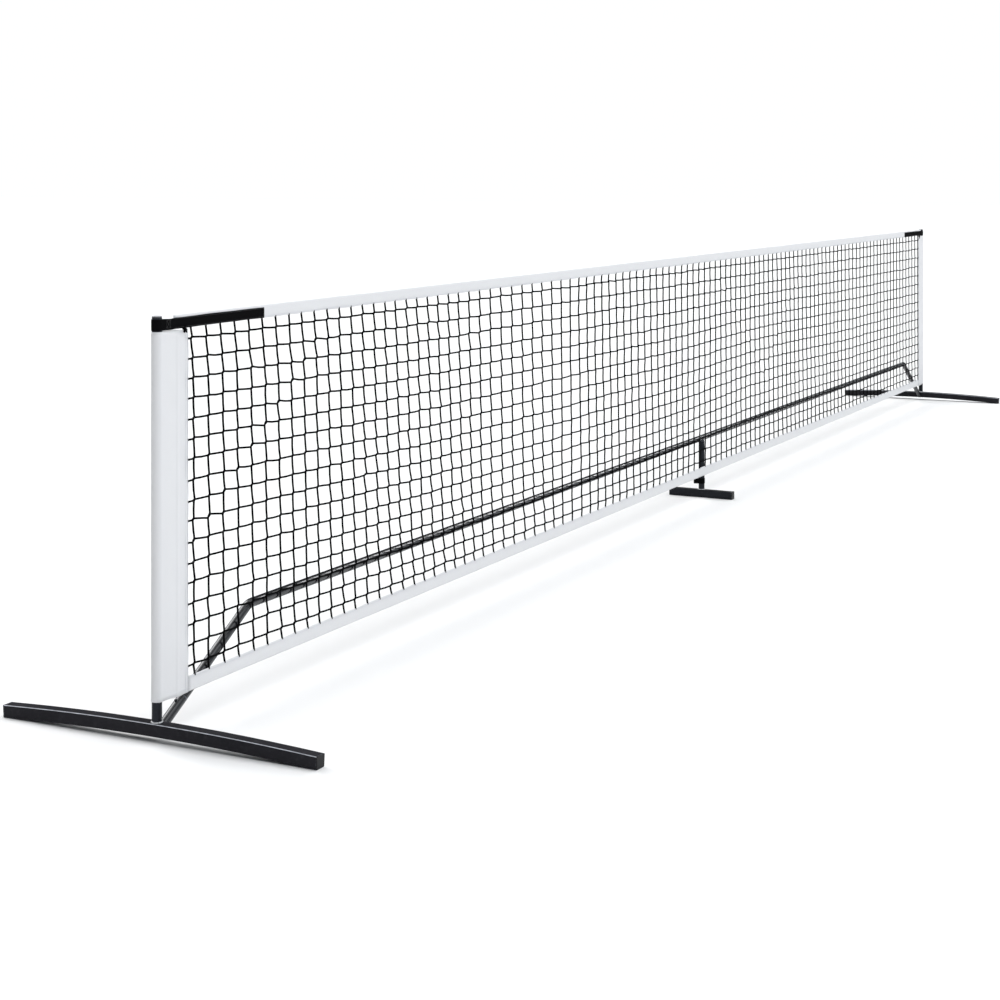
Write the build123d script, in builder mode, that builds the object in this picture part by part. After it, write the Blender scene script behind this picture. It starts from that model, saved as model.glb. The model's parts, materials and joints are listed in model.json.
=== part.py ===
"""Portable pickleball net: a take-apart steel frame with a net slipped over its two uprights.

Millimetres. X runs along the net, +Z is up, and the origin is on the floor under the middle
of the net. The net hangs on the -Y side of the bars.
"""

from build123d import *
from math import acos, cos, radians, sin, tan
import os

# ---------------------------------------------------------------- overall sizes
SPAN = 6706.0  # between the uprights' axes: 22 ft
NET_TOP = 914.0  # 36 in
HALF_SPAN = SPAN / 2

# ---------------------------------------------------------------- round steel tube
TUBE_R = 11.1  # outside radius of a 7/8 in tube
TUBE_BORE_R = 9.9
SPIGOT_R = 9.85  # slides in the tube's bore
SPIGOT_BORE_R = 8.65
WELD_SIZE = 3.0
JOINT_GAP = 0.3

# ---------------------------------------------------------------- end bases
BASE_LENGTH = 828.0
BASE_WIDTH = 30.0
BASE_HEIGHT = 28.0
BASE_WALL = 1.5
BASE_CORNER_R = 2.0
BASE_RISE = 12.0  # how much higher the middle of the arch is than its ends
CAP_PLATE = 2.5
CAP_PLUG = 14.0
PLUG_GAP = 0.1

# ---------------------------------------------------------------- uprights
UPRIGHT_SPIGOT_LENGTH = 80.0
POST_CAP_PLATE = 3.0
POST_CAP_PLUG = 14.0

# ---------------------------------------------------------------- braces and bar
BAR_HEIGHT = 222.0  # axis of the horizontal bar above the floor
BAR_Y = 4.0  # the bar lies a little behind the uprights, clear of the net
BRACE_ANGLE = 31.0  # from the floor
BRACE_FOOT_IN = 42.0  # a point of the brace's axis, inward from the upright's axis
BRACE_FOOT_HEIGHT = 36.0
SOCKET_REACH = 63.0  # from that point to the socket's mouth, along the brace
BEND_R = 45.0
BAR_JOINTS = (500.0, 1450.0, 2400.0)  # distances of the bar's joints from the middle
SPIGOT_INSERT = 55.0  # length of a spigot on each side of a joint

# ---------------------------------------------------------------- snap buttons of the braces
BUTTON_DEPTH = 20.0  # the button's axis, below the socket's mouth
BUTTON_R = 3.2
BUTTON_HOLE_R = 3.5
BUTTON_PROUD = 4.0  # above the tube's outer surface
BUTTON_FLANGE_R = 4.5
BUTTON_FLANGE = 0.8
BUTTON_FLANGE_BASE = 6.4  # height of the flange's underside above the tube's axis
LEAF_THICKNESS = 0.5
LEAF_WIDTH = 8.0
LEAF_LENGTH = 28.0
LEAF_REST = -7.0  # height of the spring's lower leaf, against the bore's far wall

# ---------------------------------------------------------------- centre support
CENTRE_FOOT_LENGTH = 250.0
CENTRE_FOOT_SIZE = 28.0
CENTRE_STUB_LENGTH = 60.0
POST_TIE_LOW = 51.0
POST_TIE_HIGH = 72.0
POST_TIE_THICKNESS = 1.4
POST_TIE_TAIL = 27.0  # from the post's axis to the tail's free end

# ---------------------------------------------------------------- net
NET_Y = -10.2  # middle plane of the knotted mesh
TWINE = 2.6
ROW_COUNT = 17
ROW_TOP = 859.0
ROW_PITCH = 45.1
COLUMN_COUNT = 108
COLUMN_START = 109.0  # first column, inward from the upright's axis

HEADBAND_HEIGHT = 31.0
HEADBAND_THICKNESS = 3.0
HEADBAND_START = 45.0  # inward from the upright's axis

BOTTOM_TAPE_LOW = 83.0
BOTTOM_TAPE_HIGH = 117.0
BOTTOM_TAPE_THICKNESS = 2.4

SLEEVE_LOW = 80.0
SLEEVE_TOP = 880.0
SLEEVE_REACH = 98.0  # inner edge, inward from the upright's axis
SLEEVE_THICKNESS = 1.4
SLEEVE_SEAM = 27.0  # where the pocket closes, inward from the upright's axis
POCKET_R = TUBE_R + JOINT_GAP

STRAP_LOW = 883.2
STRAP_WIDTH = 25.0
STRAP_THICKNESS = 1.3
STRAP_REACH = 392.0
STRAP_SEAM = 30.0


def save(piece, name):
    """Labels a finished piece and writes it as the node of that name."""
    piece.part.label = name
    export_step(piece.part, f"parts/{name}.step")


def straight_tube(mouth, length, outer_r=TUBE_R, inner_r=TUBE_BORE_R):
    """A round tube that starts on a plane and runs along its normal."""
    with BuildPart() as tube:
        with BuildSketch(mouth):
            Circle(outer_r)
            Circle(inner_r, mode=Mode.SUBTRACT)
        extrude(amount=length)
    return tube


def square_outline(width, height, corner_r, wall):
    """The section of a square tube, for use in a sketch."""
    RectangleRounded(width, height, corner_r)
    RectangleRounded(width - 2 * wall, height - 2 * wall, corner_r / 2, mode=Mode.SUBTRACT)


def end_plug(mouth, width, height, corner_r, wall):
    """A moulded plug: a plate over a square tube's mouth and a block inside the tube.

    The plane's normal points out of the tube.
    """
    with BuildPart() as plug:
        with BuildSketch(mouth):
            RectangleRounded(width, height, corner_r)
        extrude(amount=CAP_PLATE)
        fillet(plug.faces().sort_by(Axis(mouth.origin, mouth.z_dir))[-1].edges(), 0.8)
        with BuildSketch(mouth):
            inside = 2 * (wall + PLUG_GAP)
            RectangleRounded(width - inside, height - inside, corner_r / 2)
        extrude(amount=-CAP_PLUG)
    return plug


def weld_bead(seat, inner_r):
    """A ring of weld round a tube that stands on a plane."""
    with BuildPart() as bead:
        with BuildSketch(seat):
            Circle(inner_r + WELD_SIZE)
            Circle(inner_r, mode=Mode.SUBTRACT)
        extrude(amount=WELD_SIZE)
        chamfer(bead.edges().group_by(Axis(seat.origin, seat.z_dir))[-1].sort_by(SortBy.LENGTH)[-1], 2.2)
    return bead


os.makedirs("parts", exist_ok=True)

# The arch stands on the lower edges of its end plugs.
half_base = BASE_LENGTH / 2 - CAP_PLATE
arch_r = (half_base**2 + BASE_RISE**2) / (2 * BASE_RISE)
end_tilt = acos((arch_r - BASE_RISE) / arch_r)
base_end_z = BASE_HEIGHT / 2 * cos(end_tilt) + CAP_PLATE * sin(end_tilt)
base_top = base_end_z + BASE_RISE + BASE_HEIGHT / 2
upright_foot = base_top + WELD_SIZE + JOINT_GAP

for side, end in (("left", -1), ("right", 1)):
    post_x = end * HALF_SPAN
    inward = -end

    # ------------------------------------------------------------ arched base
    with BuildPart() as base_tube:
        with BuildLine() as arch:
            ThreePointArc(
                (post_x, -half_base, base_end_z),
                (post_x, 0, base_end_z + BASE_RISE),
                (post_x, half_base, base_end_z),
            )
        front_mouth = Plane(arch.line @ 0, x_dir=(1, 0, 0), z_dir=arch.line % 0)
        back_mouth = Plane(arch.line @ 1, x_dir=(1, 0, 0), z_dir=arch.line % 1)
        with BuildSketch(front_mouth):
            square_outline(BASE_WIDTH, BASE_HEIGHT, BASE_CORNER_R, BASE_WALL)
        sweep()
    save(base_tube, f"base_tube_{side}")

    front_plug = end_plug(
        Plane(front_mouth.origin, x_dir=(1, 0, 0), z_dir=-front_mouth.z_dir),
        BASE_WIDTH, BASE_HEIGHT, BASE_CORNER_R, BASE_WALL,
    )
    back_plug = end_plug(back_mouth, BASE_WIDTH, BASE_HEIGHT, BASE_CORNER_R, BASE_WALL)
    with BuildPart() as base_end_plugs:
        add(front_plug.part)
        add(back_plug.part)
    save(base_end_plugs, f"base_end_plugs_{side}")

    # ------------------------------------------------------------ upright on its spigot
    seat = Plane((post_x, 0, base_top))
    with BuildPart() as upright_spigot:
        add(straight_tube(seat, UPRIGHT_SPIGOT_LENGTH, SPIGOT_R, SPIGOT_BORE_R).part)
        add(weld_bead(seat, SPIGOT_R).part)
        chamfer(upright_spigot.edges().filter_by(GeomType.CIRCLE).sort_by(Axis.Z)[-1], 0.6)
    save(upright_spigot, f"upright_spigot_{side}")

    tube_top = NET_TOP - POST_CAP_PLATE
    upright = straight_tube(Plane((post_x, 0, upright_foot)), tube_top - upright_foot)
    save(upright, f"upright_{side}")

    with BuildPart() as upright_cap:
        with BuildSketch(Plane((post_x, 0, tube_top))):
            Circle(TUBE_R)
        extrude(amount=POST_CAP_PLATE)
        fillet(upright_cap.faces().sort_by(Axis.Z)[-1].edges(), 1.2)
        with BuildSketch(Plane((post_x, 0, tube_top))):
            Circle(TUBE_BORE_R - PLUG_GAP / 2)
        extrude(amount=-POST_CAP_PLUG)
    save(upright_cap, f"upright_cap_{side}")

    # ------------------------------------------------------------ brace, from base to bar
    slope = radians(BRACE_ANGLE)
    along = Vector(inward * cos(slope), 0, sin(slope))
    outward_up = Vector(-inward * sin(slope), 0, cos(slope))
    brace_foot = Vector(post_x + inward * BRACE_FOOT_IN, BAR_Y, BRACE_FOOT_HEIGHT)
    socket_mouth = brace_foot + along * SOCKET_REACH
    button_base = socket_mouth - along * BUTTON_DEPTH
    button_plane = Plane(button_base, x_dir=along, z_dir=outward_up)

    base_side_x = post_x + inward * BASE_WIDTH / 2
    buried = 20.0  # length of the socket's blank that the cuts flush with the base remove
    with BuildPart() as brace_socket:
        blank_start = brace_foot - along * (BRACE_FOOT_IN / cos(slope) + buried)
        blank_length = SOCKET_REACH + BRACE_FOOT_IN / cos(slope) + buried
        with BuildSketch(Plane(blank_start, x_dir=(0, 1, 0), z_dir=along)):
            Circle(TUBE_R)
            Circle(TUBE_BORE_R, mode=Mode.SUBTRACT)
        extrude(amount=blank_length)
        split(bisect_by=Plane((base_side_x, 0, 0), z_dir=(inward, 0, 0)), keep=Keep.TOP)
        split(bisect_by=Plane((0, 0, base_top - BASE_HEIGHT)), keep=Keep.TOP)
        with BuildSketch(button_plane):
            Circle(BUTTON_HOLE_R)
        extrude(amount=TUBE_R + 1, mode=Mode.SUBTRACT)
    save(brace_socket, f"brace_socket_{side}")

    with BuildPart() as brace_spigot:
        spigot_start = Plane(socket_mouth - along * SPIGOT_INSERT, x_dir=(0, 1, 0), z_dir=along)
        add(straight_tube(spigot_start, 2 * SPIGOT_INSERT, SPIGOT_R, SPIGOT_BORE_R).part)
        with BuildSketch(button_plane):
            Circle(BUTTON_HOLE_R)
        extrude(amount=TUBE_R + 1, mode=Mode.SUBTRACT)
    save(brace_spigot, f"brace_spigot_{side}")

    corner_in = BRACE_FOOT_IN + (BAR_HEIGHT - BRACE_FOOT_HEIGHT) / tan(slope)
    outer_joint = Vector(end * BAR_JOINTS[-1], BAR_Y, BAR_HEIGHT)
    bend_corner = Vector(post_x + inward * corner_in, BAR_Y, BAR_HEIGHT)
    with BuildPart() as brace_tube:
        with BuildLine():
            brace_line = FilletPolyline(socket_mouth + along * JOINT_GAP, bend_corner, outer_joint, radius=BEND_R)
        with BuildSketch(Plane(brace_line @ 0, x_dir=(0, 1, 0), z_dir=along)):
            Circle(TUBE_R)
            Circle(TUBE_BORE_R, mode=Mode.SUBTRACT)
        sweep(path=brace_line)
    save(brace_tube, f"brace_tube_{side}")

    # ------------------------------------------------------------ snap button and its leaf spring
    with BuildPart() as snap_button:
        with BuildSketch(button_plane.offset(BUTTON_FLANGE_BASE)):
            Circle(BUTTON_FLANGE_R)
        extrude(amount=BUTTON_FLANGE)
        with BuildSketch(button_plane.offset(BUTTON_FLANGE_BASE)):
            Circle(BUTTON_R)
        extrude(amount=TUBE_R + BUTTON_PROUD - BUTTON_FLANGE_BASE)
        fillet(snap_button.faces().sort_by(Axis(button_base, outward_up))[-1].edges(), 1.6)
    save(snap_button, f"snap_button_{side}")

    leaf_top = BUTTON_FLANGE_BASE - LEAF_THICKNESS
    spring_plane = Plane(button_base, x_dir=along, z_dir=along.cross(outward_up))
    with BuildPart() as button_spring:
        with BuildSketch(spring_plane):
            with BuildLine():
                leaf_line = FilletPolyline(
                    (-BUTTON_R, leaf_top),
                    (BUTTON_R, leaf_top),
                    (LEAF_LENGTH, 0),
                    (0, LEAF_REST),
                    radius=2.5,
                )
            trace(leaf_line, line_width=LEAF_THICKNESS)
        extrude(amount=LEAF_WIDTH / 2, both=True)
    save(button_spring, f"button_spring_{side}")

    # ------------------------------------------------------------ bar sections of this side
    for name, joint_in, joint_out in (
        ("bar_inner", BAR_JOINTS[0], BAR_JOINTS[1]),
        ("bar_outer", BAR_JOINTS[1], BAR_JOINTS[2]),
    ):
        start = Plane((end * (joint_in + JOINT_GAP), BAR_Y, BAR_HEIGHT), x_dir=(0, 1, 0), z_dir=(end, 0, 0))
        bar = straight_tube(start, joint_out - joint_in - 2 * JOINT_GAP)
        save(bar, f"{name}_{side}")

    with BuildPart() as bar_spigots:
        for joint in BAR_JOINTS:
            start = Plane((end * (joint - SPIGOT_INSERT), BAR_Y, BAR_HEIGHT), x_dir=(0, 1, 0), z_dir=(end, 0, 0))
            add(straight_tube(start, 2 * SPIGOT_INSERT, SPIGOT_R, SPIGOT_BORE_R).part)
    save(bar_spigots, f"bar_spigots_{side}")

    # ------------------------------------------------------------ sleeve sewn into a pocket
    flap_front = NET_Y - SLEEVE_THICKNESS / 2
    flap_back = NET_Y + SLEEVE_THICKNESS / 2
    seam_x = inward * SLEEVE_SEAM
    with BuildPart() as sleeve:
        with BuildSketch(Plane((post_x, 0, SLEEVE_LOW))):
            with BuildLine():
                Line((seam_x, flap_front), (seam_x, flap_front + 2 * SLEEVE_THICKNESS))
                CenterArc((0, 0), POCKET_R + SLEEVE_THICKNESS, 0, 360)
            make_hull()
            with BuildLine(mode=Mode.PRIVATE) as pocket_edges:
                Line((seam_x - inward, NET_Y), (seam_x - inward, NET_Y + 0.2))
                CenterArc((0, 0), POCKET_R, 0, 360)
            make_hull(pocket_edges.edges(), mode=Mode.SUBTRACT)
            with Locations((inward * (SLEEVE_SEAM + SLEEVE_REACH) / 2, NET_Y)):
                Rectangle(SLEEVE_REACH - SLEEVE_SEAM, SLEEVE_THICKNESS)
        extrude(amount=SLEEVE_TOP - SLEEVE_LOW)
    save(sleeve, f"sleeve_{side}")

    # ------------------------------------------------------------ webbing strap round the upright
    strap_y = NET_Y - HEADBAND_THICKNESS / 2 - JOINT_GAP - STRAP_THICKNESS / 2
    strap_seam_x = inward * STRAP_SEAM
    with BuildPart() as strap:
        with BuildSketch(Plane((post_x, 0, STRAP_LOW))):
            with BuildLine():
                Line(
                    (strap_seam_x, strap_y - STRAP_THICKNESS / 2),
                    (strap_seam_x, strap_y + 1.5 * STRAP_THICKNESS),
                )
                CenterArc((0, 0), POCKET_R + STRAP_THICKNESS, 0, 360)
            make_hull()
            with BuildLine(mode=Mode.PRIVATE) as loop_edges:
                Line((strap_seam_x - inward, strap_y), (strap_seam_x - inward, strap_y + 0.2))
                CenterArc((0, 0), POCKET_R, 0, 360)
            make_hull(loop_edges.edges(), mode=Mode.SUBTRACT)
            with Locations((inward * (STRAP_SEAM + STRAP_REACH) / 2, strap_y)):
                Rectangle(STRAP_REACH - STRAP_SEAM, STRAP_THICKNESS)
        extrude(amount=STRAP_WIDTH)
    save(strap, f"strap_{side}")

# -------------------------------------------------------------------- centre bar and support
middle_joint = BAR_JOINTS[0]
centre_start = Plane((-middle_joint, BAR_Y, BAR_HEIGHT), x_dir=(0, 1, 0), z_dir=(1, 0, 0))
bar_centre = straight_tube(centre_start, 2 * middle_joint)
save(bar_centre, "bar_centre")

post_top = BAR_HEIGHT - TUBE_R - JOINT_GAP
with BuildPart() as centre_stub:
    with BuildSketch(Plane((0, BAR_Y, post_top - CENTRE_STUB_LENGTH))):
        Circle(SPIGOT_R)
        Circle(SPIGOT_BORE_R, mode=Mode.SUBTRACT)
    extrude(amount=CENTRE_STUB_LENGTH + TUBE_R + JOINT_GAP)
    with BuildSketch(Plane.YZ.offset(-2 * TUBE_R)):
        with Locations((BAR_Y, BAR_HEIGHT)):
            Circle(TUBE_R)
    extrude(amount=4 * TUBE_R, mode=Mode.SUBTRACT)
save(centre_stub, "centre_stub")

with BuildPart() as centre_post:
    foot_top = Plane((0, BAR_Y, CENTRE_FOOT_SIZE))
    add(straight_tube(foot_top, post_top - CENTRE_FOOT_SIZE).part)
    add(weld_bead(foot_top, TUBE_R).part)
save(centre_post, "centre_post")

half_foot = CENTRE_FOOT_LENGTH / 2 - CAP_PLATE
foot_front = Plane((0, BAR_Y - half_foot, CENTRE_FOOT_SIZE / 2), x_dir=(1, 0, 0), z_dir=(0, -1, 0))
foot_back = Plane((0, BAR_Y + half_foot, CENTRE_FOOT_SIZE / 2), x_dir=(1, 0, 0), z_dir=(0, 1, 0))
with BuildPart() as centre_foot_tube:
    with BuildSketch(foot_front):
        square_outline(CENTRE_FOOT_SIZE, CENTRE_FOOT_SIZE, BASE_CORNER_R, BASE_WALL)
    extrude(amount=-2 * half_foot)
save(centre_foot_tube, "centre_foot_tube")

with BuildPart() as centre_foot_plugs:
    for mouth in (foot_front, foot_back):
        add(end_plug(mouth, CENTRE_FOOT_SIZE, CENTRE_FOOT_SIZE, BASE_CORNER_R, BASE_WALL).part)
save(centre_foot_plugs, "centre_foot_plugs")

tie_inner_r = TUBE_R + JOINT_GAP
with BuildPart() as post_tie:
    with BuildSketch(Plane((0, BAR_Y, POST_TIE_LOW))):
        Circle(tie_inner_r + POST_TIE_THICKNESS)
        tail_x = -tie_inner_r - POST_TIE_THICKNESS / 2
        with Locations((tail_x, POST_TIE_TAIL / 2)):
            Rectangle(POST_TIE_THICKNESS, POST_TIE_TAIL)
        Circle(tie_inner_r, mode=Mode.SUBTRACT)
    extrude(amount=POST_TIE_HIGH - POST_TIE_LOW)
save(post_tie, "post_tie")

# -------------------------------------------------------------------- knotted mesh of the net
row_low = ROW_TOP - (ROW_COUNT - 1) * ROW_PITCH
mesh_low = BOTTOM_TAPE_HIGH
mesh_high = NET_TOP - HEADBAND_HEIGHT
sleeve_edge = HALF_SPAN - SLEEVE_REACH
column_half = HALF_SPAN - COLUMN_START
column_pitch = 2 * column_half / (COLUMN_COUNT - 1)

with BuildPart() as net_rows:
    with BuildSketch(Plane.XZ.offset(-NET_Y)):
        with Locations((0, (ROW_TOP + row_low) / 2)):
            with GridLocations(0, ROW_PITCH, 1, ROW_COUNT):
                Rectangle(2 * sleeve_edge - 2 * JOINT_GAP, TWINE)
    extrude(amount=TWINE)
save(net_rows, "net_rows")

with BuildPart() as net_columns:
    with BuildSketch(Plane.XZ.offset(-NET_Y)):
        with Locations((0, (mesh_low + mesh_high) / 2)):
            with GridLocations(column_pitch, 0, COLUMN_COUNT, 1):
                Rectangle(TWINE, mesh_high - mesh_low - 2 * JOINT_GAP)
    extrude(amount=-TWINE)
save(net_columns, "net_columns")

with BuildPart() as headband:
    with BuildSketch(Plane.XZ.offset(-NET_Y)):
        with Locations((0, NET_TOP - HEADBAND_HEIGHT / 2)):
            Rectangle(2 * (HALF_SPAN - HEADBAND_START), HEADBAND_HEIGHT)
    extrude(amount=HEADBAND_THICKNESS / 2, both=True)
    fillet(headband.edges().filter_by(Axis.X).group_by(Axis.Z)[-1], 1.2)
save(headband, "headband")

with BuildPart() as bottom_tape:
    with BuildSketch(Plane.XZ.offset(-NET_Y)):
        with Locations((0, (BOTTOM_TAPE_LOW + BOTTOM_TAPE_HIGH) / 2)):
            Rectangle(2 * sleeve_edge - 2 * JOINT_GAP, BOTTOM_TAPE_HIGH - BOTTOM_TAPE_LOW)
    extrude(amount=BOTTOM_TAPE_THICKNESS / 2, both=True)
save(bottom_tape, "bottom_tape")
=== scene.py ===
"""Looks of the portable pickleball net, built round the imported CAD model.

Metres, in the CAD's frame: X along the net, +Z up, the floor at Z 0 and the net's front at -Y.
"""

import json
import math

import bpy
import numpy as np
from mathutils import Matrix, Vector


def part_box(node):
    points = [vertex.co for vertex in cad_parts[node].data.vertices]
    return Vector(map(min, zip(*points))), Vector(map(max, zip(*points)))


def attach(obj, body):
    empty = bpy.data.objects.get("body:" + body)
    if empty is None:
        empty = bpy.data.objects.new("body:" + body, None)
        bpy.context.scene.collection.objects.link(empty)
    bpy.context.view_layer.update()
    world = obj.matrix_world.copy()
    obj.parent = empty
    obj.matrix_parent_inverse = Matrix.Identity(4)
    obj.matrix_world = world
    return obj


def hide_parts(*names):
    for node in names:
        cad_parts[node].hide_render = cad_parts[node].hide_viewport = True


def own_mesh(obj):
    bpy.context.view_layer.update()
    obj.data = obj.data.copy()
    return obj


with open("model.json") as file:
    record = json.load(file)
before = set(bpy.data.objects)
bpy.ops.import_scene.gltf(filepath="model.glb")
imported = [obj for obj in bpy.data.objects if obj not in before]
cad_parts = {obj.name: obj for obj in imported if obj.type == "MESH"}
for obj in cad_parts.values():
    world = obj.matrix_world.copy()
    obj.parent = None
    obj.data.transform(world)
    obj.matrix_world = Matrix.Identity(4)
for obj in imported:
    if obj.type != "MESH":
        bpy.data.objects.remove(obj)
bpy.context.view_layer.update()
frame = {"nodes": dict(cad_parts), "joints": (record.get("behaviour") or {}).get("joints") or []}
nodes = frame["nodes"]
SIDES = {"left": -1.0, "right": 1.0}


# ================================================================ materials
class Look:
    """A procedural material under construction. Its texture space is the row frame, in metres."""

    def __init__(self, name, **constants):
        self.material = bpy.data.materials.new(name)
        self.material.use_nodes = True
        self.tree = self.material.node_tree
        self.shader = self.tree.nodes["Principled BSDF"]
        for socket, value in constants.items():
            self.shader.inputs[socket.replace("_", " ")].default_value = value
        self.place = self.node("ShaderNodeTexCoord").outputs["Object"]

    def node(self, kind, **settings):
        made = self.tree.nodes.new(kind)
        for key, value in settings.items():
            setattr(made, key, value)
        return made

    def feed(self, socket, value):
        if isinstance(value, bpy.types.NodeSocket):
            self.tree.links.new(value, socket)
        else:
            socket.default_value = value

    def maths(self, operation, *values):
        made = self.node("ShaderNodeMath", operation=operation)
        for socket, value in zip(made.inputs, values):
            self.feed(socket, value)
        return made.outputs[0]

    def stretched(self, x, y, z):
        """The row frame's coordinates, each scaled by its own factor."""
        made = self.node("ShaderNodeVectorMath", operation="MULTIPLY")
        self.feed(made.inputs[0], self.place)
        made.inputs[1].default_value = (x, y, z)
        return made.outputs[0]

    def noise(self, scale, detail=3.0, rough=0.5, where=None):
        made = self.node("ShaderNodeTexNoise")
        self.feed(made.inputs["Vector"], where or self.place)
        made.inputs["Scale"].default_value = scale
        made.inputs["Detail"].default_value = detail
        made.inputs["Roughness"].default_value = rough
        return made.outputs["Fac"]

    def between(self, factor, low, high, start=0.0, end=1.0):
        """A number that goes from low to high as the factor goes from start to end."""
        made = self.node("ShaderNodeMapRange")
        for socket, value in zip(made.inputs, (factor, start, end, low, high)):
            self.feed(socket, value)
        return made.outputs[0]

    def blend(self, factor, low, high):
        """A colour between two others."""
        made = self.node("ShaderNodeMix", data_type="RGBA")
        self.feed(made.inputs["Factor"], factor)
        self.feed(made.inputs["A"], low if isinstance(low, bpy.types.NodeSocket) else (*low, 1.0))
        self.feed(made.inputs["B"], high if isinstance(high, bpy.types.NodeSocket) else (*high, 1.0))
        return made.outputs["Result"]

    def axes(self):
        made = self.node("ShaderNodeSeparateXYZ")
        self.feed(made.inputs[0], self.place)
        return made.outputs

    def wave(self, along, pitch):
        """A sine from 0 to 1 along one coordinate."""
        turned = self.maths("MULTIPLY", along, 2 * math.pi / pitch)
        return self.maths("MULTIPLY_ADD", self.maths("SINE", turned), 0.5, 0.5)

    def edges(self, radius):
        """1 on the worn outer edges of a part and 0 on its faces."""
        bevel = self.node("ShaderNodeBevel", samples=4)
        bevel.inputs["Radius"].default_value = radius
        facing = self.node("ShaderNodeVectorMath", operation="DOT_PRODUCT")
        self.feed(facing.inputs[0], bevel.outputs[0])
        self.feed(facing.inputs[1], self.node("ShaderNodeNewGeometry").outputs["Normal"])
        return self.between(facing.outputs["Value"], 1.0, 0.0, 0.80, 0.99)

    def arrises(self):
        """1 on the rounded upper edges that run along Y: the mask of a painted highlight, a pale line that
        shows the same in any light.
        """
        normal = self.node("ShaderNodeSeparateXYZ")
        self.feed(normal.inputs[0], self.node("ShaderNodeTexCoord").outputs["Normal"])
        across = self.maths("MULTIPLY", normal.outputs["X"], normal.outputs["X"])
        slant = self.maths("MULTIPLY", across, self.maths("SUBTRACT", 1.0, across))
        rounded = self.maths("MULTIPLY", slant, 4.0)
        upper = self.between(normal.outputs["Z"], 0.0, 1.0, 0.05, 0.35)
        broken = self.between(self.noise(55.0, 4.0, 0.6), 0.55, 1.0, 0.30, 0.62)
        return self.maths("MULTIPLY", self.maths("MULTIPLY", rounded, upper), broken)

    def bump(self, height, distance, strength=1.0, under=None):
        made = self.node("ShaderNodeBump")
        made.inputs["Strength"].default_value = strength
        made.inputs["Distance"].default_value = distance
        self.feed(made.inputs["Height"], height)
        if under is not None:
            self.feed(made.inputs["Normal"], under)
        return made.outputs[0]

    def finish(self, colour, roughness, normal):
        self.feed(self.shader.inputs["Base Color"], colour)
        self.feed(self.shader.inputs["Roughness"], roughness)
        self.feed(self.shader.inputs["Normal"], normal)
        return self.material


def painted_steel(name, gloss, smooth, peel_depth, shine=0.16, tone=1.0, arris=0.0):
    """Black paint on steel: orange peel, faint mottling, dust and paint thinned at the edges, and where
    asked a painted highlight along the rounded upper edges.
    """
    look = Look(
        name,
        Specular_IOR_Level=shine,
        Specular_Tint=(0.62, 0.78, 1.0, 1.0),
        Coat_Weight=gloss,
        Coat_Roughness=smooth,
        Coat_Tint=(0.93, 0.95, 1.0, 1.0),
    )
    mottle = look.noise(9.0, 4.0, 0.6)
    dust = look.between(look.noise(70.0, 5.0, 0.7), 0.0, 1.0, 0.52, 0.78)
    paints = ((0.0050, 0.0048, 0.0055), (0.0095, 0.0092, 0.0105))
    dark, light = ([tone * part for part in paint] for paint in paints)
    colour = look.blend(mottle, dark, light)
    colour = look.blend(look.maths("MULTIPLY", dust, 0.10), colour, (0.16, 0.16, 0.165))
    patchy = look.between(look.noise(160.0, 3.0), 0.1, 1.0, 0.40, 0.62)
    worn = look.maths("MULTIPLY", look.edges(0.0020), patchy)
    colour = look.blend(look.maths("MULTIPLY", worn, 0.9), colour, (0.30, 0.32, 0.37))
    # Painted highlight: a pale blue-white line on the rounded upper edges, broken up by noise.
    if arris:
        colour = look.blend(look.maths("MULTIPLY", look.arrises(), arris), colour, (0.80, 0.83, 0.90))
    roughness = look.maths("ADD", look.between(mottle, 0.29, 0.37), look.maths("MULTIPLY", dust, 0.10))
    peel = look.noise(620.0, 2.0, 0.45)
    return look.finish(colour, roughness, look.bump(peel, 0.0004, peel_depth))


def weld_bead():
    """A brushed weld: bare metal shows through thin paint, heat-tinted and spattered."""
    look = Look("brushed_weld", Metallic=0.75)
    patch = look.noise(240.0, 4.0, 0.65)
    tint = look.noise(70.0, 3.0)
    colour = look.blend(tint, (0.52, 0.53, 0.56), (0.80, 0.80, 0.80))
    colour = look.blend(look.between(patch, 0.0, 0.6, 0.50, 0.70), colour, (0.05, 0.05, 0.055))
    return look.finish(colour, look.between(patch, 0.34, 0.55), look.bump(patch, 0.0004, 0.5))


def moulded_plastic(name, shine, coat, scuff=0.0):
    """Black moulded plastic with a fine grain under a smooth skin, and where asked a painted highlight on
    its upward faces.
    """
    look = Look(name, Specular_IOR_Level=shine, Coat_Weight=coat, Coat_Roughness=0.12)
    grain = look.noise(1500.0, 2.0, 0.6)
    tone = look.noise(22.0, 3.0)
    colour = look.blend(tone, (0.008, 0.008, 0.009), (0.015, 0.015, 0.0165))
    worn = look.maths("MULTIPLY", look.edges(0.001), look.noise(240.0, 2.0))
    colour = look.blend(look.maths("MULTIPLY", worn, 0.5), colour, (0.075, 0.075, 0.08))
    # Painted highlight: the upward faces turn pale grey, broken up into patches by noise.
    if scuff:
        normal = look.node("ShaderNodeSeparateXYZ")
        look.feed(normal.inputs[0], look.node("ShaderNodeTexCoord").outputs["Normal"])
        upper = look.between(normal.outputs["Z"], 0.0, 1.0, 0.10, 0.60)
        scratched = look.between(look.noise(300.0, 4.0, 0.7), 0.7 * scuff, scuff, 0.3, 0.6)
        scuffed = look.maths("MULTIPLY", upper, scratched)
        colour = look.blend(scuffed, colour, (0.80, 0.81, 0.86))
    return look.finish(colour, look.between(tone, 0.50, 0.62), look.bump(grain, 0.0002, 0.35))


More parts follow.
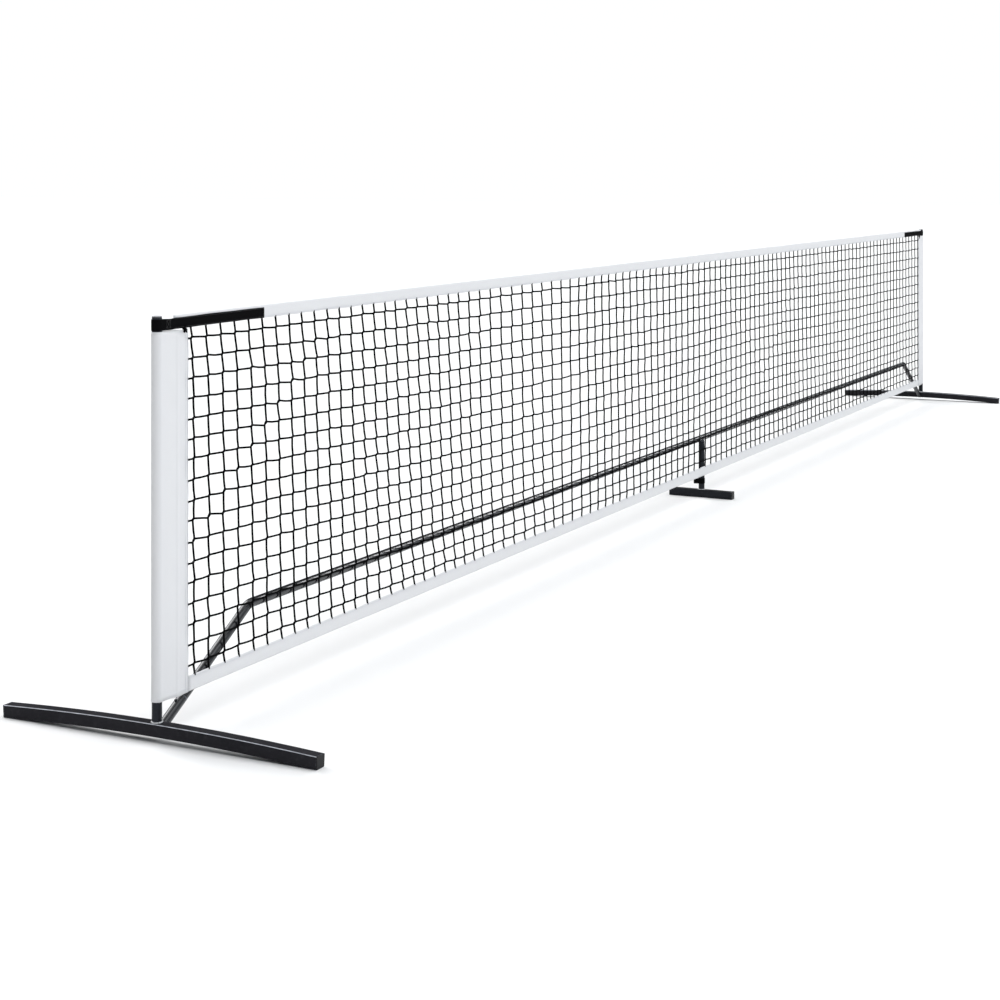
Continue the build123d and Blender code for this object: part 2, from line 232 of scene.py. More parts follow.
def sprung_steel():
    """Bright zinc-plated steel, brushed along X."""
    look = Look("plated_steel", Metallic=1.0)
    brushed = look.noise(900.0, 4.0, 0.6, look.stretched(0.06, 1.0, 1.0))
    stain = look.noise(120.0, 4.0, 0.6)
    colour = look.blend(stain, (0.38, 0.38, 0.39), (0.60, 0.60, 0.61))
    return look.finish(colour, look.between(brushed, 0.24, 0.42), look.bump(brushed, 0.0001, 0.4))


def white_cloth():
    """White coated polyester: a plain weave in X and Z, slubs, soft creases and handling marks."""
    look = Look("white_coated_polyester", Specular_IOR_Level=0.30, Sheen_Weight=0.10, Sheen_Roughness=0.5)
    x, _, z = look.axes()
    warp = look.wave(x, 0.0022)
    weft = look.wave(z, 0.0020)
    over = look.maths("ABSOLUTE", look.maths("SUBTRACT", warp, weft))
    slub = look.noise(260.0, 2.0, 0.5, look.stretched(1.0, 1.0, 0.12))
    crease = look.noise(15.0, 3.0, 0.55, look.stretched(0.45, 1.0, 1.0))
    marks = look.between(look.noise(5.5, 5.0, 0.65), 0.0, 1.0, 0.50, 0.82)
    colour = look.blend(over, (0.715, 0.716, 0.728), (0.765, 0.765, 0.774))
    colour = look.blend(look.maths("MULTIPLY", slub, 0.16), colour, (0.65, 0.655, 0.68))
    colour = look.blend(look.maths("MULTIPLY", marks, 0.14), colour, (0.64, 0.64, 0.66))
    normal = look.bump(crease, 0.0035, 0.22)
    normal = look.bump(slub, 0.0004, 0.30, normal)
    normal = look.bump(over, 0.0003, 0.30, normal)
    return look.finish(colour, look.between(slub, 0.56, 0.70), normal)


def black_webbing():
    """Black polypropylene webbing: herringbone ribs, a dense selvage and a little fluff."""
    look = Look("black_webbing", Specular_IOR_Level=0.015)
    x, y, z = look.axes()
    chevron = look.maths("PINGPONG", z, 0.0042)
    rib = look.wave(look.maths("ADD", look.maths("ADD", x, y), chevron), 0.0021)
    yarn = look.wave(z, 0.0011)
    fluff = look.noise(850.0, 3.0, 0.6)
    colour = look.blend(rib, (0.0015, 0.0015, 0.0017), (0.0050, 0.0050, 0.0055))
    colour = look.blend(look.maths("MULTIPLY", fluff, 0.10), colour, (0.022, 0.022, 0.024))
    height = look.maths("ADD", rib, look.maths("MULTIPLY", yarn, 0.35))
    normal = look.bump(fluff, 0.0003, 0.25, look.bump(height, 0.0005, 0.6))
    return look.finish(colour, look.between(fluff, 0.72, 0.90), normal)


def black_twine():
    """Tarred polyethylene twine: three strands twisted together, so diagonal ridges."""
    look = Look("black_twine", Specular_IOR_Level=0.02)
    x, y, z = look.axes()
    lay = look.maths("ADD", look.maths("ADD", x, z), look.maths("MULTIPLY", y, 1.4))
    ridge = look.wave(lay, 0.0024)
    fibre = look.noise(1300.0, 3.0, 0.6)
    tone = look.noise(3.0, 2.0)
    colour = look.blend(ridge, (0.0008, 0.0008, 0.0009), (0.0030, 0.0030, 0.0033))
    colour = look.blend(look.maths("MULTIPLY", tone, 0.15), colour, (0.007, 0.007, 0.0075))
    height = look.maths("ADD", ridge, look.maths("MULTIPLY", fibre, 0.4))
    return look.finish(colour, look.between(fibre, 0.66, 0.84), look.bump(height, 0.0007, 0.7))


def sewing_thread(name, dark, light):
    """Bonded nylon thread with its twist."""
    look = Look(name, Specular_IOR_Level=0.35, Sheen_Weight=0.08)
    x, y, z = look.axes()
    ply = look.wave(look.maths("ADD", look.maths("ADD", x, z), y), 0.0007)
    tone = look.noise(30.0, 2.0)
    colour = look.blend(look.maths("MULTIPLY", ply, tone), dark, light)
    return look.finish(colour, look.between(tone, 0.42, 0.58), look.bump(ply, 0.00015, 0.5))


STEEL = painted_steel("satin_black_steel", 0.10, 0.20, 0.30, tone=1.6)
TUBE_STEEL = painted_steel("gloss_black_tube", 1.0, 0.15, 0.06, shine=0.05)
WELD = weld_bead()
PLASTIC = moulded_plastic("moulded_plastic", 0.10, 0.15)
# The caps' plastic has a painted highlight on its upward faces.
CAP_PLASTIC = moulded_plastic("cap_plastic_painted_highlight", 0.50, 1.0, 0.75)
# The base's paint is a copy of the black steel, 3.6 times lighter and with almost no shine: its lighter
# colour is a painted reflection in place of the real one on its top. It also carries the painted edge
# highlight.
BASE_STEEL = painted_steel("base_steel_painted_light", 0.0, 0.20, 0.30, shine=0.015, tone=3.6, arris=0.95)
BRIGHT = sprung_steel()
CLOTH = white_cloth()
WEBBING = black_webbing()
TWINE = black_twine()
WHITE_THREAD = sewing_thread("white_thread", (0.60, 0.61, 0.65), (0.80, 0.81, 0.84))
BLACK_THREAD = sewing_thread("black_thread", (0.008, 0.008, 0.009), (0.030, 0.030, 0.033))

PLASTIC_NODES = ("base_end_plugs", "centre_foot_plugs")
BRIGHT_NODES = ("button_spring",)
TUBE_NODES = ("bar_", "brace_tube", "brace_socket")


def node_look(name):
    """The material of a CAD piece that shows as it is."""
    looks = (
        (PLASTIC_NODES, PLASTIC),
        (("upright_cap",), CAP_PLASTIC),
        (BRIGHT_NODES, BRIGHT),
        (TUBE_NODES, TUBE_STEEL),
        (("base_tube",), BASE_STEEL),
    )
    return next((look for starts, look in looks if name.startswith(starts)), STEEL)


for name, node in nodes.items():
    node.data.materials.clear()
    node.data.materials.append(node_look(name))


# ================================================================ mesh making
def strips(a, b):
    """Quads between two lines of point numbers."""
    return np.stack([a[:-1], a[1:], b[1:], b[:-1]], axis=-1).reshape(-1, 4)


def sheet_mesh(grid, thickness):
    """A sheet of cloth: its middle surface given a thickness, with closed rims."""
    normal = np.cross(np.gradient(grid, axis=0), np.gradient(grid, axis=1))
    normal /= np.linalg.norm(normal, axis=2, keepdims=True)
    half = np.broadcast_to(np.asarray(thickness) / 2, grid.shape[:2])[..., None]
    points = np.concatenate([(grid + normal * half).reshape(-1, 3), (grid - normal * half).reshape(-1, 3)])
    rows, columns = grid.shape[:2]
    front = np.arange(rows * columns).reshape(rows, columns)
    back = front + rows * columns
    faces = [strips(front[i], front[i + 1])[:, ::-1] for i in range(rows - 1)]
    faces += [strips(back[i], back[i + 1]) for i in range(rows - 1)]
    faces += [strips(front[0], back[0]), strips(front[-1], back[-1])[:, ::-1]]
    faces += [strips(front[:, 0], back[:, 0])[:, ::-1], strips(front[:, -1], back[:, -1])]
    return points, np.concatenate(faces)


def tube_mesh(paths, radius, sides, closed=False, up=(0.0, 1.0, 0.0)):
    """Many round tubes at once. paths is (tubes, points, 3), and radius one number or one for each point."""
    if closed:
        tangent = np.roll(paths, -1, axis=1) - np.roll(paths, 1, axis=1)
    else:
        tangent = np.gradient(paths, axis=1)
    tangent /= np.linalg.norm(tangent, axis=2, keepdims=True)
    across = np.cross(tangent, np.asarray(up, float))
    across /= np.linalg.norm(across, axis=2, keepdims=True)
    over = np.cross(across, tangent)
    turn = np.linspace(0.0, 2 * np.pi, sides, endpoint=False)[:, None]
    ring = across[:, :, None] * np.cos(turn) + over[:, :, None] * np.sin(turn)
    reach = np.broadcast_to(np.asarray(radius, float), paths.shape[:2])[:, :, None, None]
    points = paths[:, :, None] + ring * reach
    count = np.arange(points.shape[0] * points.shape[1] * sides).reshape(points.shape[:3])
    around = np.roll(count, -1, axis=2)
    if closed:
        here, there = (count, around), (np.roll(count, -1, axis=1), np.roll(around, -1, axis=1))
    else:
        here, there = (count[:, :-1], around[:, :-1]), (count[:, 1:], around[:, 1:])
    faces = np.stack([here[0], there[0], there[1], here[1]], axis=-1)
    return points.reshape(-1, 3), faces.reshape(-1, 4)


def piece(name, parts, look, body, stands_for=()):
    """One finished mesh that rides on a CAD body."""
    offsets = np.cumsum([0] + [len(points) for points, _ in parts])
    points = np.concatenate([points for points, _ in parts])
    faces = np.concatenate([faces + offset for (_, faces), offset in zip(parts, offsets)])
    mesh = bpy.data.meshes.new(name)
    mesh.from_pydata(points.tolist(), [], faces.tolist())
    mesh.polygons.foreach_set("use_smooth", np.ones(len(mesh.polygons), bool))
    mesh.update()
    mesh.materials.append(look)
    made = bpy.data.objects.new(name, mesh)
    bpy.context.scene.collection.objects.link(made)
    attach(made, body)
    if stands_for:
        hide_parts(*stands_for)
    return made


def wobble(along, seed, lengths):
    """A smooth wobble between about -1 and 1, the same in each run."""
    turns = np.random.default_rng(seed).uniform(0, 2 * np.pi, len(lengths))
    return sum(np.sin(2 * np.pi * along / w + t) for w, t in zip(lengths, turns)) / len(lengths)


def smooth_line(corners, count):
    """Evenly spaced points on a smooth curve through the corners (Catmull-Rom)."""
    p = np.asarray(corners, float)
    p = np.concatenate([[2 * p[0] - p[1]], p, [2 * p[-1] - p[-2]]])
    t = np.linspace(0, 1, 24, endpoint=False)[:, None]
    runs = [
        0.5 * (2 * b + (c - a) * t + (2 * a - 5 * b + 4 * c - d) * t**2 + (3 * b - a - 3 * c + d) * t**3)
        for a, b, c, d in zip(p[:-3], p[1:-2], p[2:-1], p[3:])
    ]
    dense = np.concatenate([*runs, [p[-2]]])
    far = np.concatenate([[0.0], np.cumsum(np.linalg.norm(np.diff(dense, axis=0), axis=1))])
    wanted = np.linspace(0, far[-1], count)
    return np.stack([np.interp(wanted, far, dense[:, k]) for k in range(dense.shape[1])], axis=1)


def stitch_mesh(places, along, out, length, lift, radius):
    """A row of lock stitches: short threads that rise out of the cloth between two needle holes."""
    steps = np.array([-0.5, -0.30, 0.0, 0.30, 0.5])
    rise = np.array([-0.6, 0.7, 1.0, 0.7, -0.6])
    run = steps[None, :, None] * length * along[:, None]
    paths = places[:, None] + run + rise[None, :, None] * lift * out[:, None]
    return tube_mesh(paths, radius, 5, up=np.cross(along[0], out[0]))


def seam(start, end, out, pitch, lift=0.0004, radius=0.00045):
    """Lock stitches along a straight seam."""
    start, end = np.asarray(start, float), np.asarray(end, float)
    count = max(2, round(float(np.linalg.norm(end - start)) / pitch))
    share = (np.arange(count) + 0.5) / count
    places = start + share[:, None] * (end - start)
    along = np.broadcast_to((end - start) / np.linalg.norm(end - start), places.shape)
    out = np.broadcast_to(np.asarray(out, float), places.shape)
    return stitch_mesh(places, along, out, pitch * 0.86, lift, radius)


# ================================================================ sizes read from the CAD
band_low, band_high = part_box("headband")
tape_low, tape_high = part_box("bottom_tape")
rows_low, rows_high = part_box("net_rows")
columns_low, columns_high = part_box("net_columns")
net_y = (band_low.y + band_high.y) / 2
uprights = {side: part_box(f"upright_{side}") for side in SIDES}
post_x = {side: (low.x + high.x) / 2 for side, (low, high) in uprights.items()}
tube_r = (uprights["left"][1].x - uprights["left"][0].x) / 2
start_x = post_x["left"]

# ================================================================ the knotted mesh
ROWS, COLUMNS = 17, 108
TWINE_R = 0.00235  # thicker than the CAD's 1.3 mm, so that lines look as dark as in the photograph
KNOT_R = 0.00145
HALF_KNOT = 0.0026
CROSSING = 0.0008  # how far in front of or behind the mesh's middle a strand passes a knot
TOP_KNOT_DROP = 0.024  # the first row of knots, below the columns' upper ends
LAST_KNOT_RISE = 0.0235  # the last row of knots, above the bottom tape
rng = np.random.default_rng(7)


def smoothstep(value, start, end):
    t = np.clip((value - start) / (end - start), 0, 1)
    return t * t * (3 - 2 * t)


def knot_places():
    """Distance from the left upright and height of every knot, rows from the top down."""
    columns = np.arange(COLUMNS)
    first = columns_low.x + TWINE_R - start_x
    last = columns_high.x - TWINE_R - start_x
    rough = first + columns * (last - first) / (COLUMNS - 1)
    pitch = 0.0556 + 0.0012 * smoothstep(rough, 0.31, 0.63) + 0.0016 * smoothstep(rough, 1.0, 1.2)
    pitch = pitch + 0.0116 * smoothstep(rough, 1.27, 1.68) - 0.0095 * smoothstep(rough, 1.95, 2.25)
    pitch = pitch - 0.0035 * smoothstep(rough, 3.0, 3.8) + 0.0050 * smoothstep(rough, 4.3, 5.2)
    far = np.concatenate([[0.0], np.cumsum(pitch[:-1])])
    top = first + far * (last - first) / far[-1]
    down = np.linspace(0, 1, ROWS)[:, None]
    d = np.broadcast_to(top, (ROWS, COLUMNS)).copy()
    drift = 0.014 * smoothstep(d, 0.15, 0.5) + 0.016 * smoothstep(d, 0.6, 1.05)
    drift += -0.020 * smoothstep(d, 1.3, 1.6)
    drift += 0.026 * smoothstep(d, 2.05, 2.3) - 0.028 * smoothstep(d, 2.75, 3.4)
    drift += 0.014 * smoothstep(d, 3.9, 4.3) - 0.018 * smoothstep(d, 4.8, 5.2)
    pulled = 0.009 * smoothstep(down, 0.0, 0.16) * (1 - smoothstep(d, 0.5, 0.9))
    kink = 0.008 * smoothstep(d, 0.8, 1.1) * (1 - smoothstep(d, 1.8, 2.2)) * smoothstep(down, 0.78, 1.0)
    d += drift * down + pulled + kink
    sag = 0.0165 * smoothstep(d, 0.2, 1.5) * (1 - smoothstep(d, 3.0, 3.9))
    sag += 0.0165 * smoothstep(d, 4.2, 5.4)
    bow = np.sin(np.pi * down**1.35) ** 0.9
    top_row = columns_high.z - TOP_KNOT_DROP
    step = (top_row - (tape_high.z + LAST_KNOT_RISE)) / (ROWS - 1)
    z = top_row - step * np.arange(ROWS)[:, None]
    z = z - sag * bow + 0.0045 * (1 - down) * np.sin(np.pi * down) * (1 - smoothstep(d, 0.1, 0.9))
    z = z + 0.0011 * wobble(d + 0.4 * down, 3, (0.83, 0.41, 1.7))
    d = d + 0.0016 * wobble(z * 2.0 + d * 0.4, 5, (0.31, 0.73, 0.19))
    d += rng.normal(0, 0.0011, d.shape)
    z += rng.normal(0, 0.0009, z.shape)
    return d, z


knot_d, knot_z = knot_places()

# A fault in the weaving runs down the net in three places, one column further for each row.
column_of = np.arange(COLUMNS)[None, :]
row_of = np.arange(ROWS)[:, None]
fault = np.zeros((ROWS, COLUMNS))
for top_d, direction in ((0.67, -1), (3.46, 1), (4.63, -1)):
    first_column = int(np.argmin(np.abs(knot_d[0] - top_d)))
    fault += (column_of == first_column + direction * row_of) & (row_of >= 1) & (row_of <= 10)

# Twine leans one way between knots and steps back in each, and that changes along the net.
lean = 1.0 - 2.0 * smoothstep(knot_d, 1.9, 2.3) + 1.15 * smoothstep(knot_d, 3.3, 3.6)
lean = lean + 0.75 * smoothstep(knot_d, 4.1, 4.6) * smoothstep(row_of / ROWS, 0.2, 0.8)
kick = smoothstep(knot_d, 0.5, 0.9) * (1 - smoothstep(knot_d, 1.9, 2.3))
step_x = (0.0018 + 0.0016 * kick) * lean * (1 + rng.normal(0, 0.25, lean.shape)) + 0.0022 * fault
step_z = 0.0012 * (1 + rng.normal(0, 0.3, lean.shape)) + 0.0026 * fault

knot_x = start_x + knot_d
knots = np.stack([knot_x, np.full_like(knot_x, net_y), knot_z], axis=-1)


def strand(starts, ends, leave, arrive, bow, depth):
    """Twine between two knots: out of one, a slack middle, and into the next."""
    middle = (starts + leave + ends + arrive) / 2 + bow
    path = np.stack([starts, starts + leave, middle, ends + arrive, ends], axis=1)
    path[:, (0, 4), 1] += depth
    path[:, (1, 3), 1] += depth * 0.6
    return path


def offset(dx, dz):
    return np.stack([dx, np.zeros_like(dx), dz], axis=-1)


right_exit = offset(np.full_like(step_z, HALF_KNOT), step_z)
left_entry = -right_exit
top_entry = offset(step_x, np.full_like(step_x, HALF_KNOT))
bottom_exit = -top_entry


def between(a, b, a_out, b_in, slack, depth, seed):
    """Strands between neighbouring knots, each with its own slight bow."""
    chance = np.random.default_rng(seed)
    a, b = a.reshape(-1, 3), b.reshape(-1, 3)
    bow = chance.normal(0, 0.00040, (len(a), 3)) * (1.0, 0.4, 1.0) + slack
    return strand(a, b, a_out.reshape(-1, 3), b_in.reshape(-1, 3), bow, depth)


def to_edge(inside, leave, edge, depth):
    """Short ends that run from the outer knots into the cloth round the net."""
    starts, leave = inside.reshape(-1, 3), leave.reshape(-1, 3)
    edge = edge.reshape(-1, 3)
    middle = (starts + leave + edge) / 2
    path = np.stack([starts, starts + leave, middle, middle * 0.4 + edge * 0.6, edge], axis=1)
    path[:, 0, 1] += depth
    return path


sag_down = np.array([0.0, 0.0, -0.0003])
across_strands = between(
    knots[:, :-1], knots[:, 1:], right_exit[:, :-1], left_entry[:, 1:], sag_down, CROSSING, 11
)
down_strands = between(
    knots[:-1], knots[1:], bottom_exit[:-1], top_entry[1:], np.zeros(3), -CROSSING, 12
)

left_edge, right_edge = knots[:, 0].copy(), knots[:, -1].copy()
left_edge[:, 0], right_edge[:, 0] = rows_low.x - 0.003, rows_high.x + 0.003
left_edge[:, 2] -= 0.0012
right_edge[:, 2] += 0.0012
top_edge, bottom_edge = knots[0].copy(), knots[-1].copy()
top_edge[:, 0] -= 0.25 * (knots[1, :, 0] - knots[0, :, 0]) + 0.0025 * lean[0]
bottom_edge[:, 0] += 0.0035 * lean[-1]
top_edge[:, 2], bottom_edge[:, 2] = band_low.z + 0.003, tape_high.z - 0.003
stubs = np.concatenate(
    [
        to_edge(knots[:, 0], left_entry[:, 0], left_edge, CROSSING),
        to_edge(knots[:, -1], right_exit[:, -1], right_edge, CROSSING),
        to_edge(knots[0], top_entry[0], top_edge, -CROSSING),
        to_edge(knots[-1], bottom_exit[-1], bottom_edge, -CROSSING),
    ]
)
net_twine = piece(
    "net_twine",
    [tube_mesh(np.concatenate([across_strands, down_strands, stubs]), TWINE_R, 6)],
    TWINE,
    "net",
    ("net_rows", "net_columns"),
)

# Each knot is a loop of the same twine drawn tight round the crossing, front on one diagonal.
turn = np.linspace(0, 2 * np.pi, 8, endpoint=False)
centres = knots.reshape(-1, 1, 3)
tilt = 0.75 + rng.normal(0, 0.22, (centres.shape[0], 1))
long_r = 0.00215 * (1 + rng.normal(0, 0.08, tilt.shape))
short_r = 0.00135 * (1 + rng.normal(0, 0.10, tilt.shape))
u, v = long_r * np.cos(turn), short_r * np.sin(turn)
loops = centres + np.stack(
    [
        u * np.cos(tilt) - v * np.sin(tilt),
        0.00115 * np.sin(2 * turn + 0.6) + 0 * u,
        u * np.sin(tilt) + v * np.cos(tilt),
    ],
    axis=-1,
)
net_knots = piece(
    "net_knots", [tube_mesh(loops, KNOT_R, 5, closed=True)], TWINE, "net"
)


# ================================================================ headband and bottom tape
def folded_band(low, high, fold_up, seed):
    """Cloth folded over a cord in its fold, with its two hems sewn together: a grid of points."""
    count = round((high.x - low.x) / 0.012)
    x = np.linspace(low.x, high.x, count)
    tall, half = high.z - low.z, (high.y - low.y) / 2 - 0.00035
    outline = smooth_line(
        [
            (-0.62 * half, 0.0),
            (-0.80 * half, 0.05 * tall),
            (-0.55 * half, 0.13 * tall),
            (-0.92 * half, 0.32 * tall),
            (-0.95 * half, 0.62 * tall),
            (-1.0 * half, 0.90 * tall),
            (-0.62 * half, 0.985 * tall),
            (0.0, tall - 0.00035),
            (0.62 * half, 0.985 * tall),
            (1.0 * half, 0.90 * tall),
            (0.95 * half, 0.62 * tall),
            (0.92 * half, 0.32 * tall),
            (0.55 * half, 0.13 * tall),
            (0.80 * half, 0.05 * tall),
            (0.62 * half, 0.0),
        ],
        29,
    )
    y, up = outline[:, 0], outline[:, 1]
    flat = 0.30 + 0.70 * smoothstep(np.minimum(x - low.x, high.x - x), 0.0, 0.030)[:, None]
    loose = 1 - up / tall
    grid = np.zeros((count, len(outline), 3))
    grid[..., 0] = x[:, None]
    pucker = 0.00022 * wobble(x, seed, (0.037, 0.061, 0.11))[:, None] * np.sin(np.pi * up / tall)
    swing = wobble(x, seed + 1, (0.9, 0.37, 0.22))[:, None] * loose
    grid[..., 1] = flat * (y + pucker * np.sign(y)) + 0.0003 * swing
    edge = 0.0009 * wobble(x, seed + 2, (0.19, 0.33, 0.085))[:, None] * loose**2
    away = 0.0003 * wobble(x, seed + 3, (1.1, 0.47))[:, None] * (1 - loose) - 0.0003 * (1 - loose)
    height = up + edge + away
    grid[..., 1] += (low.y + high.y) / 2
    grid[..., 2] = low.z + height if fold_up else high.z - height
    return grid


headband_grid = folded_band(band_low, band_high, True, 31)
tape_grid = folded_band(tape_low, tape_high, False, 41)
headband, bottom_tape = (
    piece(f"{node}_cloth", [sheet_mesh(grid, 0.0007)], CLOTH, "net", (node,))
    for node, grid in (("headband", headband_grid), ("bottom_tape", tape_grid))
)


def band_seams(low, high, height, faces):
    """Seams along both faces of a folded band, at a height."""
    made = []
    for y, out in faces:
        made.append(seam((low.x + 0.004, y, height), (high.x - 0.004, y, height), (0, out, 0), 0.0052))
    return made


band_faces = ((net_y - 0.00120, -1), (net_y + 0.00120, 1))
headband_seams = piece(
    "headband_stitching",
    band_seams(band_low, band_high, band_low.z + 0.0040, band_faces),
    WHITE_THREAD,
    "net",
)
tape_faces = ((net_y - 0.00095, -1), (net_y + 0.00095, 1))
tape_seams = piece(
    "bottom_tape_stitching",
    band_seams(tape_low, tape_high, tape_high.z - 0.0044, tape_faces),
    WHITE_THREAD,
    "net",
)


# ================================================================ sleeves
SLEEVE_GAP = 0.0017  # the sleeve's outer face, past the tube's surface
POCKET_SEAM = 0.0875  # inward from the upright's axis


def wrapped_path(reach, front_y, back_y, pinch, around_r, count):
    """Plan of a panel that starts at the flap's inner edge, goes round the post and comes back.

    Distances are from the post's axis, inward positive."""
    away = np.hypot(pinch, back_y)
    facing = math.atan2(back_y, pinch)
    opening = math.acos(around_r / away)
    arc = [
        (around_r * math.cos(a), around_r * math.sin(a))
        for a in np.linspace(-math.pi / 2, facing + opening - 2 * math.pi, 19)
    ]
    meets = pinch + 0.010
    front = [(reach + (meets - reach) * k / 3, front_y) for k in range(4)]
    front += [
        (meets * k, front_y - (front_y + around_r) * (1 - smoothstep(k, 0, 1)))
        for k in (0.86, 0.71, 0.57, 0.43, 0.29, 0.14)
    ]
    back = [(pinch, back_y), ((reach + pinch) / 2, back_y), (reach, back_y)]
    return smooth_line(front + arc + back, count)


def sleeve_grid(side, low, high):
    """The sleeve's cloth, with soft hanging folds in its pocket and pulled creases at its top corner."""
    inward = -SIDES[side]
    reach = (high.x - low.x) - (tube_r + SLEEVE_GAP)
    path = wrapped_path(reach, net_y - 0.00042, net_y + 0.00042, 0.050, tube_r + 0.00115, 120)
    heights = np.linspace(low.z, high.z, 90)
    along = path[None, :, 0]
    z = heights[:, None]
    grid = np.zeros((len(heights), len(path), 3))
    flap = smoothstep(along, 0.020, 0.060)
    hang = 0.00055 * wobble(z + 0.9 * along, 51, (0.31, 0.17, 0.094)) * flap
    pull = 0.0011 * np.sin((z - high.z) * 260 + along * 150) * np.exp(-(((high.z - z) / 0.035) ** 2))
    pull = pull * flap * (1 - smoothstep(along, reach - 0.018, reach - 0.002))
    round_post = (1 - flap) * (0.00018 + 0.00018 * wobble(z + 0.4 * along, 53, (0.21, 0.12, 0.5)))
    outward = np.stack([path[:, 0], path[:, 1]], axis=1)
    outward /= np.linalg.norm(outward, axis=1, keepdims=True)
    edge_wander = 0.0008 * wobble(z, 57, (0.11, 0.29, 0.051))
    edge_wander = edge_wander * smoothstep(along, reach - 0.006, reach)
    grid[..., 0] = post_x[side] + inward * (along + round_post * outward[None, :, 0] + edge_wander)
    grid[..., 1] = path[None, :, 1] + round_post * outward[None, :, 1] + hang + pull
    bottom = 0.0012 * wobble(along, 59, (0.13, 0.07)) + 0.0050 * (1 - smoothstep(along, 0.0, 0.075))
    bottom = (bottom + 0.0012) * (1 - (z - low.z) / (high.z - low.z)) ** 8
    brim = 0.0012 * flap * np.exp(-(((high.z - z) / 0.02) ** 2)) * wobble(along, 61, (0.05, 0.09))
    grid[..., 2] = z + bottom + brim
    return grid[:, ::-1] if inward < 0 else grid


sleeves, sleeve_seams, sleeve_edges = {}, {}, {}
for side in SIDES:
    low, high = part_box(f"sleeve_{side}")
    inward = -SIDES[side]
    sleeves[side] = piece(
        f"sleeve_cloth_{side}",
        [sheet_mesh(sleeve_grid(side, low, high), 0.00055)],
        CLOTH,
        "net",
        (f"sleeve_{side}",),
    )
    edge_x = post_x[side] + inward * ((high.x - low.x) - (tube_r + SLEEVE_GAP))
    pocket_x = post_x[side] + inward * POCKET_SEAM
    rows_of_seams = []
    for out in (-1, 1):
        y = net_y + out * 0.00062
        ends = (pocket_x, y, low.z + 0.003), (pocket_x, y, high.z - 0.003)
        rows_of_seams.append(seam(*ends, (0, out, 0), 0.0046))
        for height in (low.z + 0.011, high.z - 0.006):
            begin = post_x[side] + inward * 0.052
            rows_of_seams.append(
                seam((begin, y, height), (edge_x - inward * 0.004, y, height), (0, out, 0), 0.0046)
            )
    sleeve_seams[side] = piece(f"sleeve_stitching_{side}", rows_of_seams, WHITE_THREAD, "net")
    teeth = np.arange(low.z + 0.004, high.z - 0.004, 0.0028)
    zigzag = []
    for out in (-1, 1):
        swing = np.where(np.arange(len(teeth)) % 2, -0.0004, -0.0042)
        face = np.full_like(teeth, net_y + out * 0.00105)
        path = np.stack([edge_x + inward * swing, face, teeth], axis=1)
        zigzag.append(tube_mesh(path[None], 0.00032, 5))
    sleeve_edges[side] = piece(f"sleeve_zigzag_{side}", zigzag, WHITE_THREAD, "net")


# ================================================================ straps round the uprights' tops
STRAP_GAP = 0.0016  # the collar's outer face, past the tube's surface


def strap_grid(side, low, high):
    """Webbing that starts on the headband, goes round the upright and ends behind itself."""
    inward = -SIDES[side]
    thick = 0.0013
    front = low.y + thick / 2
    front_run = (high.x - low.x) - (tube_r + STRAP_GAP)
    around = tube_r + 0.00095
    away = math.hypot(0.030, front + thick)
    last = math.atan2(front + thick, 0.030) + math.acos(around / away) - 2 * math.pi
    arc = [(around * math.cos(a), around * math.sin(a)) for a in np.linspace(-1.60, last, 11)]
    corners = [(x, front) for x in (front_run, 0.30, 0.20, 0.11, 0.040)] + [(0.020, front + 0.0001)]
    path = smooth_line(corners + arc + [(0.024, front + thick + 0.001), (0.031, front + thick)], 110)
    across = np.linspace(low.z + 0.0003, high.z - 0.0003, 9)
    grid = np.zeros((len(path), len(across), 3))
    grid[..., 0] = post_x[side] + inward * path[:, :1]
    grid[..., 1] = path[:, 1:]
    wave = 0.0006 * wobble(path[:, :1] + 0.2 * path[:, 1:], 71, (0.17, 0.33)) - 0.0002
    dip = -0.0008 * np.exp(-(((path[:, :1] - 0.033) / 0.010) ** 2))
    dip = dip - 0.0012 * (1 - smoothstep(path[:, :1], 0.01, 0.05))
    grid[..., 2] = across[None, :] + wave + dip
    edge = np.abs(across - across.mean()) / (across.max() - across.mean())
    thickness = thick * (1 - 0.45 * edge**6)
    return (grid[::-1] if inward < 0 else grid), np.broadcast_to(thickness, grid.shape[:2])


def box_stitch(x0, x1, z0, z1, y, out):
    """A sewn box with a cross in it."""
    corners = [(x0, y, z0), (x1, y, z0), (x1, y, z1), (x0, y, z1), (x0, y, z0)]
    lines = list(zip(corners, corners[1:])) + [((x0, y, z0), (x1, y, z1)), ((x0, y, z1), (x1, y, z0))]
    return [seam(a, b, (0, out, 0), 0.0030, 0.00035, 0.00035) for a, b in lines]


straps, strap_seams = {}, {}
for side in SIDES:
    low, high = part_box(f"strap_{side}")
    inward = -SIDES[side]
    grid, thickness = strap_grid(side, low, high)
    straps[side] = piece(
        f"strap_webbing_{side}",
        [sheet_mesh(grid, thickness)],
        WEBBING,
        "net",
        (f"strap_{side}",),
    )
    reach = (high.x - low.x) - (tube_r + STRAP_GAP)
    face = low.y - 0.00005
    threads = []
    for height in (low.z + 0.0026, high.z - 0.0030):
        a = post_x[side] + inward * 0.046
        b = post_x[side] + inward * (reach - 0.003)
        threads.append(seam((a, face, height), (b, face, height), (0, -1, 0), 0.0042, 0.00035, 0.00035))
    near, far = (post_x[side] + inward * x for x in (0.0165, 0.0300))
    threads += box_stitch(near, far, low.z + 0.004, high.z - 0.0045, face, -1)
    end_x = post_x[side] + inward * (reach - 0.0035)
    ends = (end_x, face, low.z + 0.003), (end_x, face, high.z - 0.0035)
    threads.append(seam(*ends, (0, -1, 0), 0.0030, 0.00035, 0.00035))
    strap_seams[side] = piece(f"strap_stitching_{side}", threads, BLACK_THREAD, "net")


